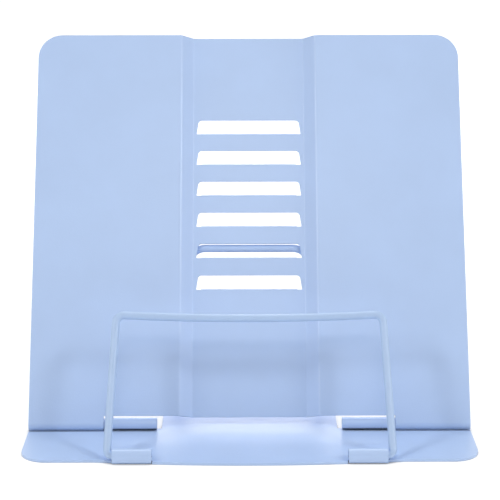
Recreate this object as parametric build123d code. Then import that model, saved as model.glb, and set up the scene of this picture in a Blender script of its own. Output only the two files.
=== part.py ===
from build123d import *
import math
import os

# Folding book stand of pressed and rolled steel sheet with bent wire parts, in millimetres.
# +X is to the reader's right, +Y is to the back and +Z is up. The origin lies on the underside
# of the base, in the middle of its width, straight below the axis of the main hinge.

# Sheet
sheet_thickness = 1.0
stand_width = 200.0

# Back panel. Heights on it are measured up the panel from the hinge axis.
panel_height = 186.3
panel_lean = 27.9
panel_corner_radius = 11.3
panel_notch_height = 3.5
panel_curl_sweep = 250.0

# Pressed channel down the middle of the panel
channel_mouth_width = 64.0
channel_floor_width = 52.6
channel_depth = 5.0
channel_bend_radius = 1.0

# Windows in the channel floor, each with a lip bent back at its lower edge
window_count = 6
window_pitch = 15.1
first_window_drop = 41.05
window_height = 6.35
window_top_width = 47.2
window_bottom_width = 49.1
window_corner_radius = 1.8
relief_width = 2.2
relief_depth = 0.6
lip_length = 5.0
lip_bend_radius = 0.4
lip_corner_radius = 1.4

# Main hinge: the base is rolled round the pins inside, the panel outside
pin_diameter = 4.0
pin_clearance = 0.05
pin_end_inset = 0.3
hinge_knuckle_start = 42.0
hinge_knuckle_width = 23.6
hinge_slit = 0.4
knuckle_sweep = 303.0

# Ledge in front of the hinge. Its front edge is straight at both ends and bulges in a wide arc.
ledge_side_depth = 38.8
ledge_point_depth = 42.9
ledge_nose_radius = 520.0
ledge_corner_radius = 11.75
ledge_blend_radius = 60.0
ledge_hinge_gap = 0.3

# Tongue behind the hinge, which carries the strut
tongue_width = 79.8
tongue_corner_radius = 4.0

# Strut: a wire loop that leans forward and holds the panel up at one of the windows
strut_wire_diameter = 3.5
strut_axis_depth = 84.5
strut_window_number = 5
strut_bar_drop = 1.6
strut_bar_setback = 0.3
strut_top_span = 52.0
strut_corner_radius = 6.5
strut_foot_radius = 3.5
strut_knuckle_start = 15.0
strut_knuckle_width = 18.0
strut_side_gap = 0.8
strut_end_inset = 1.0
strut_rear_setback = 5.0

# Page clip: a sprung wire loop whose feet turn in the two tabs of the ledge
clip_wire_diameter = 3.5
clip_reach = 63.1
clip_lean = 33.0
clip_top_span = 118.2
clip_corner_radius = 3.75
clip_foot_radius = 2.25
clip_bar_sag = 1.5
clip_bow_share = 0.9
clip_end_inset = 1.5
clip_side_gap = 0.5

# Tabs at the front edge of the ledge: bent straight up, then rolled back over the clip's feet
tab_start = 42.5
tab_width = 17.1
tab_bore_slack = 0.15
tab_floor_gap = 0.35
tab_axis_depth = 38.4
tab_bend_radius = 0.2
tab_sweep = 215.0
tab_slit_width = 0.3
tab_slit_length = 0.6

# Overrun of every cutting body past the sheet that it cuts, and how near counts as touching
overrun = 5.0
fit_tolerance = 0.01

# Sizes that follow from the ones above
hinge_bore_radius = pin_diameter / 2 + pin_clearance
hinge_outer_radius = hinge_bore_radius + sheet_thickness
hinge_knuckle_end = hinge_knuckle_start + hinge_knuckle_width
panel_curl_start = hinge_knuckle_end + hinge_slit
strut_wire_radius = strut_wire_diameter / 2
strut_bore_radius = strut_wire_radius + pin_clearance
strut_axis_height = strut_bore_radius + sheet_thickness
strut_knuckle_end = strut_knuckle_start + strut_knuckle_width
strut_foot_half_span = strut_knuckle_end + strut_side_gap + strut_foot_radius
clip_wire_radius = clip_wire_diameter / 2
tab_bore_radius = clip_wire_radius + tab_bore_slack
tab_outer_radius = tab_bore_radius + sheet_thickness
tab_axis_height = sheet_thickness + tab_floor_gap + clip_wire_radius
tab_front_depth = tab_axis_depth + tab_outer_radius
tab_end = tab_start + tab_width
clip_foot_half_span = tab_end + clip_side_gap + clip_wire_radius
channel_floor_back = channel_depth - hinge_bore_radius


def rolled_curl(bore_radius, start_angle, sweep, x_from, x_to):
    """Sheet rolled about the X axis, from x_from to x_to. Angles run from +Y towards +Z."""
    outer_radius = bore_radius + sheet_thickness
    with BuildPart() as curl:
        with BuildSketch(Plane.YZ.offset(x_from)):
            with BuildLine():
                inner = CenterArc((0, 0), bore_radius, start_angle, sweep)
                outer = CenterArc((0, 0), outer_radius, start_angle, sweep)
                Line(inner @ 0, outer @ 0)
                Line(inner @ 1, outer @ 1)
            make_face()
        extrude(amount=x_to - x_from)
    return curl.part


def both_sides(solid):
    """A solid and its mirror image on the other half of the stand."""
    return [solid, mirror(solid, about=Plane.YZ)]


def bent_wire(points, radii, wire_diameter):
    """Round wire along straight runs in the XZ plane, joined by tangent bends."""
    path = FilletPolyline(*points, radius=radii)
    start_plane = Plane(origin=path @ 0, z_dir=path % 0)
    section = start_plane * Circle(wire_diameter / 2)
    return sweep(section, path=path)


def window_top(number):
    """Height of the upper edge of a window, counted from 1 at the top."""
    return panel_height - first_window_drop - (number - 1) * window_pitch


def channel_section():
    """Plan of the panel: two flat wings and the channel between them, one sheet thick."""
    wing = stand_width / 2
    mouth = channel_mouth_width / 2
    floor = channel_floor_width / 2
    front = -hinge_outer_radius
    floor_front = front + channel_depth
    middle = sheet_thickness / 2
    points = [
        (-wing, front + middle),
        (-mouth, front + middle),
        (-floor, floor_front + middle),
        (floor, floor_front + middle),
        (mouth, front + middle),
        (wing, front + middle),
    ]
    with BuildSketch() as section:
        with BuildLine():
            centre_line = FilletPolyline(*points, radius=channel_bend_radius + middle)
            offset(centre_line, amount=middle, side=Side.BOTH, kind=Kind.INTERSECTION, mode=Mode.REPLACE)
        make_face()
    return section.sketch


def panel_front():
    """Front view of the panel: round upper corners and a notch for the base's knuckles."""
    wing = stand_width / 2
    with BuildSketch(Plane.XZ) as front:
        with BuildLine():
            Polyline(
                (-wing, 0),
                (-wing, panel_height),
                (wing, panel_height),
                (wing, 0),
                (panel_curl_start, 0),
                (panel_curl_start, panel_notch_height),
                (-panel_curl_start, panel_notch_height),
                (-panel_curl_start, 0),
                close=True,
            )
        make_face()
        top_corners = front.vertices().group_by(Axis.Y)[-1]
        fillet(top_corners, radius=panel_corner_radius)
    return front.sketch


def window_cut(number):
    """One window: a trapezoid with round upper corners, reliefs and room for the lip's bend."""
    top = window_top(number)
    bottom = top - window_height
    lip_half = window_bottom_width / 2 - relief_width
    bend_start = bottom - sheet_thickness - lip_bend_radius
    with BuildPart() as cut:
        with BuildSketch(Plane.XZ):
            with BuildLine():
                Polyline(
                    (-window_bottom_width / 2, bottom),
                    (-window_top_width / 2, top),
                    (window_top_width / 2, top),
                    (window_bottom_width / 2, bottom),
                    (window_bottom_width / 2, bottom - relief_depth),
                    (lip_half, bottom - relief_depth),
                    (lip_half, bend_start),
                    (-lip_half, bend_start),
                    (-lip_half, bottom - relief_depth),
                    (-window_bottom_width / 2, bottom - relief_depth),
                    close=True,
                )
            make_face()
        extrude(amount=channel_floor_back + sheet_thickness + overrun, both=True)
        upper_corners = cut.edges().filter_by(Axis.Y).group_by(Axis.Z)[-1]
        fillet(upper_corners, radius=window_corner_radius)
    return cut.part


def window_lip(number):
    """The lip under one window: sheet bent back through a right angle, with round corners."""
    edge = window_top(number) - window_height
    lip_half = window_bottom_width / 2 - relief_width
    floor_front = channel_floor_back - sheet_thickness
    outer_radius = lip_bend_radius + sheet_thickness
    bend_y = channel_floor_back + lip_bend_radius
    bend_z = edge - outer_radius
    with BuildPart() as lip:
        with BuildSketch(Plane.YZ.offset(-lip_half)):
            with BuildLine():
                inner = CenterArc((bend_y, bend_z), lip_bend_radius, 90, 90)
                outer = CenterArc((bend_y, bend_z), outer_radius, 90, 90)
                tip_low = (channel_floor_back + lip_length, edge - sheet_thickness)
                tip_high = (channel_floor_back + lip_length, edge)
                Polyline(inner @ 0, tip_low, tip_high, outer @ 0)
                Line((floor_front, bend_z), (channel_floor_back, bend_z))
            make_face()
        extrude(amount=2 * lip_half)
        tip_corners = lip.edges().filter_by(Axis.Z).group_by(Axis.Y)[-1]
        fillet(tip_corners, radius=lip_corner_radius)
    return lip.part


def lean_panel(solid):
    """Sets a solid drawn on the upright panel to the lean that it has at rest."""
    return Pos(0, 0, hinge_outer_radius) * Rot(-panel_lean, 0, 0) * solid


def back_panel():
    """Panel with its channel, windows and lips, and the curl at each end of its lower edge."""
    panel = extrude(channel_section(), amount=panel_height)
    panel = panel & extrude(panel_front(), amount=panel_height, both=True)
    for number in range(1, window_count + 1):
        panel = panel - window_cut(number)
        panel = panel + window_lip(number)
    curl = rolled_curl(hinge_bore_radius, 180, panel_curl_sweep, panel_curl_start, stand_width / 2)
    for side in both_sides(curl):
        panel = panel + side
    return lean_panel(panel)


def ledge_outline():
    """Plan of the ledge in front of the hinge, without its tabs."""
    side = stand_width / 2
    rear = -hinge_outer_radius - ledge_hinge_gap
    ledge = strip(-side, side, -ledge_side_depth, rear)
    front_corners = ledge.vertices().group_by(Axis.Y)[0]
    ledge = fillet(front_corners, radius=ledge_corner_radius)
    nose = Pos(0, ledge_nose_radius - ledge_point_depth) * Circle(ledge_nose_radius)
    nose = nose & strip(-side, side, -ledge_point_depth - overrun, rear)
    rise = ledge_nose_radius - ledge_point_depth + ledge_side_depth
    nose_half = math.sqrt(ledge_nose_radius**2 - rise**2)
    nose = nose & strip(-nose_half, nose_half, -ledge_point_depth - overrun, rear)
    ledge = ledge + nose
    blends = ledge.vertices().filter_by(lambda v: abs(abs(v.X) - nose_half) < fit_tolerance)
    return fillet(blends, radius=ledge_blend_radius)


def strip(x_from, x_to, y_from, y_to):
    """Flat rectangle of the base's plan."""
    centre = ((x_from + x_to) / 2, (y_from + y_to) / 2)
    return Pos(*centre) * Rectangle(x_to - x_from, y_to - y_from)


def tongue_outline():
    """Plan of the tongue, from inside the ledge to where the strut's knuckles start."""
    rear = strut_axis_depth - strut_rear_setback
    plan = strip(-tongue_width / 2, tongue_width / 2, -ledge_side_depth / 2, rear)
    rear_corners = plan.vertices().group_by(Axis.Y)[-1]
    return fillet(rear_corners, radius=tongue_corner_radius)


def tab_hook():
    """Right-hand tab about its own axis: a wall up from the ledge, rolled back over the wire."""
    with BuildPart() as wall:
        with BuildSketch(Plane.YZ.offset(tab_start)) as profile:
            with BuildLine():
                Polyline(
                    (0, -tab_axis_height),
                    (-tab_outer_radius, -tab_axis_height),
                    (-tab_outer_radius, 0),
                    (-tab_bore_radius, 0),
                    (-tab_bore_radius, sheet_thickness - tab_axis_height),
                    (0, sheet_thickness - tab_axis_height),
                    close=True,
                )
            make_face()
            corners = profile.vertices().group_by(Axis.X)
            outer_corner = corners[0].sort_by(Axis.Y)[0]
            inner_corner = corners[1].sort_by(Axis.Y)[0]
            fillet(outer_corner, radius=tab_bend_radius + sheet_thickness)
            fillet(inner_corner, radius=tab_bend_radius)
        extrude(amount=tab_width)
    return wall.part + rolled_curl(tab_bore_radius, 180, -tab_sweep, tab_start, tab_end)


def base_plate():
    """Ledge and tongue in one sheet, with knuckles and tabs rolled from its edges."""
    ledge_rear = -hinge_outer_radius - ledge_hinge_gap
    tongue_rear = strut_axis_depth - strut_rear_setback
    bend_depth = tab_front_depth - tab_bend_radius - sheet_thickness
    plan = ledge_outline() + tongue_outline()
    for side in (-1, 1):
        hinge_x = sorted((side * hinge_knuckle_start, side * hinge_knuckle_end))
        strut_x = sorted((side * strut_knuckle_start, side * strut_knuckle_end))
        tab_x = sorted((side * tab_start, side * tab_end))
        plan = plan + strip(*hinge_x, ledge_rear - sheet_thickness, 0)
        plan = plan + strip(*strut_x, tongue_rear - sheet_thickness, strut_axis_depth)
        bridge_x = sorted((side * tongue_width / 2, side * hinge_knuckle_start))
        plan = plan + strip(*bridge_x, ledge_rear - sheet_thickness, 0)
        slit_in = sorted((side * (tab_start - tab_slit_width), side * tab_start))
        slit_out = sorted((side * tab_end, side * (tab_end + tab_slit_width)))
        slit_rear = tab_slit_length - bend_depth
        front = -ledge_point_depth - overrun
        plan = plan - strip(*slit_in, front, slit_rear)
        plan = plan - strip(*slit_out, front, slit_rear)
        plan = plan - strip(*tab_x, front, -tab_axis_depth)
    base = extrude(plan, amount=sheet_thickness)

    hinge_curl = rolled_curl(
        hinge_bore_radius, -90, knuckle_sweep, hinge_knuckle_start, hinge_knuckle_end
    )
    strut_curl = rolled_curl(
        strut_bore_radius, -90, knuckle_sweep, strut_knuckle_start, strut_knuckle_end
    )
    for curl in both_sides(Pos(0, 0, hinge_outer_radius) * hinge_curl):
        base = base + curl
    for curl in both_sides(Pos(0, strut_axis_depth, strut_axis_height) * strut_curl):
        base = base + curl
    for hook in both_sides(Pos(0, -tab_axis_depth, tab_axis_height) * tab_hook()):
        base = base + hook
    return base


def hinge_pin():
    """Right-hand pin of the main hinge, through one knuckle of the base and one curl."""
    start = hinge_knuckle_start + pin_end_inset
    length = stand_width / 2 - pin_end_inset - start
    pin = extrude(Plane.YZ * Circle(pin_diameter / 2), amount=length)
    return Pos(start, 0, hinge_outer_radius) * pin


def bar_place():
    """Where the strut's bar lies in the side plane, just behind its window."""
    up_panel = window_top(strut_window_number) - strut_bar_drop
    behind = channel_floor_back + strut_bar_setback + strut_wire_radius
    lean = math.radians(panel_lean)
    y = up_panel * math.sin(lean) + behind * math.cos(lean)
    z = hinge_outer_radius + up_panel * math.cos(lean) - behind * math.sin(lean)
    return y, z


def strut_wire():
    """Loop of wire with its feet turned in to the knuckles of the tongue."""
    bar_y, bar_z = bar_place()
    run = strut_axis_depth - bar_y
    rise = bar_z - strut_axis_height
    length = math.hypot(run, rise)
    foot_end = strut_knuckle_start + strut_end_inset
    foot = strut_foot_half_span
    top = strut_top_span / 2
    points = [
        (-foot_end, 0, 0),
        (-foot, 0, 0),
        (-top, 0, length),
        (top, 0, length),
        (foot, 0, 0),
        (foot_end, 0, 0),
    ]
    radii = [strut_foot_radius, strut_corner_radius, strut_corner_radius, strut_foot_radius]
    wire = bent_wire(points, radii, strut_wire_diameter)
    lean_forward = math.degrees(math.atan2(run, rise))
    return Pos(0, strut_axis_depth, strut_axis_height) * Rot(lean_forward, 0, 0) * wire


def page_clip():
    """Loop of wire that stands in the tabs. Its legs are sprung apart, so its bar sags."""
    foot_end = tab_start + clip_end_inset
    foot = clip_foot_half_span
    top = clip_top_span / 2
    bar_point = clip_reach - 2 * clip_bar_sag
    half_turn = math.atan2(2 * clip_bar_sag, top)
    bow_radius = clip_bow_share * top / math.tan(half_turn)
    points = [
        (-foot_end, 0, 0),
        (-foot, 0, 0),
        (-top, 0, clip_reach),
        (0, 0, bar_point),
        (top, 0, clip_reach),
        (foot, 0, 0),
        (foot_end, 0, 0),
    ]
    radii = [
        clip_foot_radius,
        clip_corner_radius,
        bow_radius,
        clip_corner_radius,
        clip_foot_radius,
    ]
    wire = bent_wire(points, radii, clip_wire_diameter)
    return Pos(0, -tab_axis_depth, tab_axis_height) * Rot(-clip_lean, 0, 0) * wire


def main():
    """Builds every piece and writes it to its own file."""
    right_pin = hinge_pin()
    pieces = {
        "base_plate": base_plate(),
        "back_panel": back_panel(),
        "hinge_pin_left": mirror(right_pin, about=Plane.YZ),
        "hinge_pin_right": right_pin,
        "page_clip": page_clip(),
        "strut_wire": strut_wire(),
    }
    os.makedirs("parts", exist_ok=True)
    for name, piece in pieces.items():
        export_step(piece, os.path.join("parts", name + ".step"))


main()
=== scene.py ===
"""Looks of the folding book stand.

Powder-coated sheet and wire in a pale periwinkle blue, in a white studio.
"""

import math

import bpy
from mathutils import Matrix, Vector

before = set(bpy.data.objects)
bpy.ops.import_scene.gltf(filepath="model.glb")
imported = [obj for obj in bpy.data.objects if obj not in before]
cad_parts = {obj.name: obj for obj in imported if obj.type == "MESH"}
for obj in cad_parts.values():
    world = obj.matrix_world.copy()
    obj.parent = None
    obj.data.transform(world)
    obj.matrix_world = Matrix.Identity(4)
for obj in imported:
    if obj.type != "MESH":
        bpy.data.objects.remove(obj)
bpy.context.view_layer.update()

# The camera's place in metres, its turns in degrees, and its lens and sensor in millimetres.
CAMERA_PLACE = (-0.00395, -0.71234, 0.26721)
CAMERA_PITCH = 14.376
CAMERA_YAW = -0.336
CAMERA_ROLL = -0.031
CAMERA_LENS = 119.85
CAMERA_SENSOR = 36.0
# A camera that isn't turned looks straight down, and this turn makes it look level.
LEVEL_TURN = 90.0

# Soft boxes, each with azimuth and height in degrees, distance and size in metres and power in
# watts. Azimuth 0 is in front of the stand and 90 is on its right.
LAMPS = {
    "lamp_left": (-60.0, 40.0, 1.1, 0.22, 2.75),
    "lamp_right": (60.0, 40.0, 1.1, 0.22, 2.92),
    "lamp_front": (0.0, 48.0, 1.1, 0.3, 0.8),
    "lamp_low_left": (-50.0, 33.0, 1.1, 0.2, 0.92),
    "lamp_low_right": (50.0, 33.0, 1.1, 0.2, 0.6),
    "lamp_side_left": (-78.0, 22.0, 1.2, 0.5, 1.35),
    "lamp_side_right": (78.0, 22.0, 1.2, 0.5, 2.1),
    "lamp_overhead": (180.0, 60.0, 1.4, 0.8, 11.8),
    "lamp_rear": (180.0, 14.0, 1.2, 0.4, 0.85),
    "lamp_low": (180.0, 4.5, 1.3, 0.3, 1.35),
}
LAMP_AIM = (0.0, 0.0, 0.06)

# Strength of a surface that is white to the eye, and of the light that the world gives.
WHITE = 1.0
WORLD_LIGHT = 0.04

# The floor is a round disc, in metres.
FLOOR_RADIUS = 6.0
FLOOR_SIDES = 64
# Whiteness of its paint, and the share of it that is left to the eye, where the glow adds the rest.
FLOOR_WHITENESS = 0.7
FLOOR_SHADOW_SHARE = 0.6
# Its glow: what it gives to the stand, and what the eye sees of it close to the stand. From there
# it rises to white between two distances from the middle.
GLOW_GIVEN = 0.5
GLOW_SEEN = 0.69
GLOW_RISE = (0.16, 0.6)
# The glow fades where the floor is this much covered within this reach.
GAP_REACH = 0.006
GAP_OPENNESS = (0.35, 0.75)

# Painted shade: deep in a piece's own narrow seams, where shade falls, the coat's colour goes near
# black.
SEAM_SHADE_REACH = 0.003
SEAM_SHADE_OPENNESS = (0.45, 0.65)
SEAM_PAINTED_SHADE = (0.02, 0.022, 0.03)
OPENNESS_SAMPLES = 8

# Noise on the coat, with scales per metre: clouds of 3 cm, orange peel under 1 mm, and fine grain.
CLOUDS = {"Scale": 35.0, "Detail": 3.0, "Roughness": 0.55}
PEEL = {"Scale": 1500.0, "Detail": 2.0, "Roughness": 0.5}
GRAIN = {"Scale": 5200.0, "Detail": 1.0, "Roughness": 0.5}
# The clouds tint the coat between two shares of its colour and shift its roughness.
CLOUD_SPAN = (0.3, 0.7)
CLOUD_TINTS = (0.975, 1.02)
CLOUD_ROUGHNESS = (-0.04, 0.05)
# Bumps of peel and grain, and the rounding of edges, with distances in metres.
PEEL_BUMP = {"Strength": 0.5, "Distance": 0.00007}
GRAIN_BUMP = {"Strength": 0.35, "Distance": 0.00001}
EDGE_RADIUS = 0.00018
EDGE_SAMPLES = 4

# Coats, each with its colour, its roughness and the CAD nodes that carry it.
COAT_COLOUR = (0.465, 0.608, 0.879)
# Painted shade: the clip's colour is a darker copy of the sheet's coat, so that the wire clip
# renders darker.
CLIP_SHADED_COLOUR = (0.434, 0.576, 0.816)
COATS = {
    "coat_sheet": (COAT_COLOUR, 0.3, ("back_panel", "base_plate")),
    "coat_clip": (CLIP_SHADED_COLOUR, 0.42, ("page_clip",)),
    "coat_strut": (COAT_COLOUR, 0.36, ("strut_wire",)),
    "coat_pin": (COAT_COLOUR, 0.42, ("hinge_pin_left", "hinge_pin_right")),
}


def node(tree, kind, **values):
    """A new shader node with its inputs set by name."""
    made = tree.nodes.new(kind)
    for name, value in values.items():
        made.inputs[name.replace("_", " ")].default_value = value
    return made


def openness(tree, reach, span):
    """How open a surface is within a reach: 0 at the lower end of the span and 1 at the upper."""
    cover = node(tree, "ShaderNodeAmbientOcclusion", Distance=reach)
    cover.samples = OPENNESS_SAMPLES
    share = node(tree, "ShaderNodeMapRange", From_Min=span[0], From_Max=span[1])
    tree.links.new(cover.outputs["AO"], share.inputs["Value"])
    return cover, share.outputs["Result"]


def powder_coat(name, colour, roughness):
    """Powder coating with clouds, orange peel, fine grain, soft edges and painted shade in narrow
    seams.
    """
    material = bpy.data.materials.new(name)
    material.use_nodes = True
    tree = material.node_tree
    link = tree.links.new
    shader = tree.nodes["Principled BSDF"]
    place = node(tree, "ShaderNodeTexCoord")

    clouds = node(tree, "ShaderNodeTexNoise", **CLOUDS)
    link(place.outputs["Object"], clouds.inputs["Vector"])
    tint = node(tree, "ShaderNodeValToRGB")
    for stop, position, share in zip(tint.color_ramp.elements, CLOUD_SPAN, CLOUD_TINTS):
        stop.position = position
        stop.color = [min(1.0, part * share) for part in colour] + [1.0]
    link(clouds.outputs["Fac"], tint.inputs["Fac"])

    # Painted shade: the base colour turns near black where the piece's own narrow seams are
    # covered.
    cover, seam_lit_share = openness(tree, SEAM_SHADE_REACH, SEAM_SHADE_OPENNESS)
    cover.only_local = True
    seam_shaded = node(tree, "ShaderNodeMixRGB", Color1=SEAM_PAINTED_SHADE + (1.0,))
    link(seam_lit_share, seam_shaded.inputs["Fac"])
    link(tint.outputs["Color"], seam_shaded.inputs["Color2"])
    link(seam_shaded.outputs["Color"], shader.inputs["Base Color"])

    haze = node(tree, "ShaderNodeMapRange", To_Min=roughness + CLOUD_ROUGHNESS[0],
                To_Max=roughness + CLOUD_ROUGHNESS[1])
    link(clouds.outputs["Fac"], haze.inputs["Value"])
    link(haze.outputs["Result"], shader.inputs["Roughness"])

    edge = node(tree, "ShaderNodeBevel", Radius=EDGE_RADIUS)
    edge.samples = EDGE_SAMPLES
    normal = edge.outputs["Normal"]
    for noise_values, bump_values in ((PEEL, PEEL_BUMP), (GRAIN, GRAIN_BUMP)):
        noise = node(tree, "ShaderNodeTexNoise", **noise_values)
        bump = node(tree, "ShaderNodeBump", **bump_values)
        link(place.outputs["Object"], noise.inputs["Vector"])
        link(noise.outputs["Fac"], bump.inputs["Height"])
        link(normal, bump.inputs["Normal"])
        normal = bump.outputs["Normal"]
    link(normal, shader.inputs["Normal"])
    return material


def dress(names, material):
    """Gives the CAD nodes their material."""
    for name in names:
        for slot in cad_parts[name].material_slots:
            slot.material = material


def polar(azimuth, height, distance):
    """A place around the stand."""
    turn, rise = math.radians(azimuth), math.radians(height)
    reach = distance * math.cos(rise)
    return (reach * math.sin(turn), -reach * math.cos(turn), distance * math.sin(rise))


def soft_box(name, place, size, power):
    """A soft square lamp that looks at the stand."""
    data = bpy.data.lights.new(name, "AREA")
    data.shape = "SQUARE"
    data.size = size
    data.energy = power
    lamp = bpy.data.objects.new(name, data)
    lamp.location = place
    aim = Vector(LAMP_AIM) - Vector(place)
    lamp.rotation_euler = aim.to_track_quat("-Z", "Y").to_euler()
    bpy.context.scene.collection.objects.link(lamp)


def seen_directly(tree):
    """1 where a ray comes straight from the camera or by a mirror or glass, else 0."""
    path = node(tree, "ShaderNodeLightPath")
    seen = path.outputs["Is Camera Ray"]
    for ray in ("Is Glossy Ray", "Is Transmission Ray"):
        either = node(tree, "ShaderNodeMath")
        either.operation = "MAXIMUM"
        tree.links.new(seen, either.inputs[0])
        tree.links.new(path.outputs[ray], either.inputs[1])
        seen = either.outputs[0]
    return seen


def white_world():
    """A world that is white to the eye and gives an even, weaker light."""
    world = bpy.data.worlds.new("studio")
    bpy.context.scene.world = world
    world.use_nodes = True
    tree = world.node_tree
    back = tree.nodes["Background"]
    back.inputs["Color"].default_value = (1.0, 1.0, 1.0, 1.0)
    level = node(tree, "ShaderNodeMapRange", To_Min=WORLD_LIGHT, To_Max=WHITE)
    tree.links.new(seen_directly(tree), level.inputs["Value"])
    tree.links.new(level.outputs["Result"], back.inputs["Strength"])


def floor_material():
    """Pale paint under a glow that is near white to the eye and fades in narrow gaps."""
    material = bpy.data.materials.new("pale_floor")
    material.use_nodes = True
    tree = material.node_tree
    link = tree.links.new
    tree.nodes.remove(tree.nodes["Principled BSDF"])
    seen = seen_directly(tree)

    tone = node(tree, "ShaderNodeMapRange", To_Min=FLOOR_WHITENESS,
                To_Max=FLOOR_WHITENESS * FLOOR_SHADOW_SHARE)
    paint = node(tree, "ShaderNodeBsdfDiffuse")
    link(seen, tone.inputs["Value"])
    link(tone.outputs["Result"], paint.inputs["Color"])

    place = node(tree, "ShaderNodeTexCoord")
    away = node(tree, "ShaderNodeVectorMath")
    away.operation = "LENGTH"
    rise = node(tree, "ShaderNodeMapRange", From_Min=GLOW_RISE[0], From_Max=GLOW_RISE[1],
                To_Min=GLOW_SEEN, To_Max=WHITE)
    level = node(tree, "ShaderNodeMapRange", To_Min=GLOW_GIVEN)
    link(place.outputs["Object"], away.inputs[0])
    link(away.outputs["Value"], rise.inputs["Value"])
    link(rise.outputs["Result"], level.inputs["To Max"])
    link(seen, level.inputs["Value"])

    open_air = openness(tree, GAP_REACH, GAP_OPENNESS)[1]
    lit = node(tree, "ShaderNodeMath")
    lit.operation = "MULTIPLY"
    glow = node(tree, "ShaderNodeEmission")
    link(level.outputs["Result"], lit.inputs[0])
    link(open_air, lit.inputs[1])
    link(lit.outputs[0], glow.inputs["Strength"])

    both = node(tree, "ShaderNodeAddShader")
    link(paint.outputs[0], both.inputs[0])
    link(glow.outputs[0], both.inputs[1])
    link(both.outputs[0], tree.nodes["Material Output"].inputs["Surface"])
    return material


def white_floor():
    """A pale floor that is near white to the eye and keeps the stand's shadow."""
    mesh = bpy.data.meshes.new("floor")
    turns = [2 * math.pi * side / FLOOR_SIDES for side in range(FLOOR_SIDES)]
    ring = [(FLOOR_RADIUS * math.cos(turn), FLOOR_RADIUS * math.sin(turn), 0.0) for turn in turns]
    mesh.from_pydata(ring, [], [list(range(FLOOR_SIDES))])
    mesh.materials.append(floor_material())
    floor = bpy.data.objects.new("floor", mesh)
    bpy.context.scene.collection.objects.link(floor)


def camera():
    """The camera at the photograph's viewing angle."""
    data = bpy.data.cameras.new("camera")
    data.sensor_width = CAMERA_SENSOR
    data.lens = CAMERA_LENS
    made = bpy.data.objects.new("camera", data)
    tilt = Matrix.Rotation(math.radians(LEVEL_TURN - CAMERA_PITCH), 4, "X")
    roll = Matrix.Rotation(math.radians(CAMERA_ROLL), 4, "Z")
    yaw = Matrix.Rotation(math.radians(CAMERA_YAW), 4, "Z")
    made.matrix_world = Matrix.Translation(CAMERA_PLACE) @ yaw @ tilt @ roll
    bpy.context.scene.collection.objects.link(made)
    bpy.context.scene.camera = made


camera()
white_world()
white_floor()
for name, (azimuth, height, distance, size, power) in LAMPS.items():
    soft_box(name, polar(azimuth, height, distance), size, power)
for name, (colour, roughness, nodes) in COATS.items():
    dress(nodes, powder_coat(name, colour, roughness))

bpy.context.scene.view_settings.view_transform = "Standard"
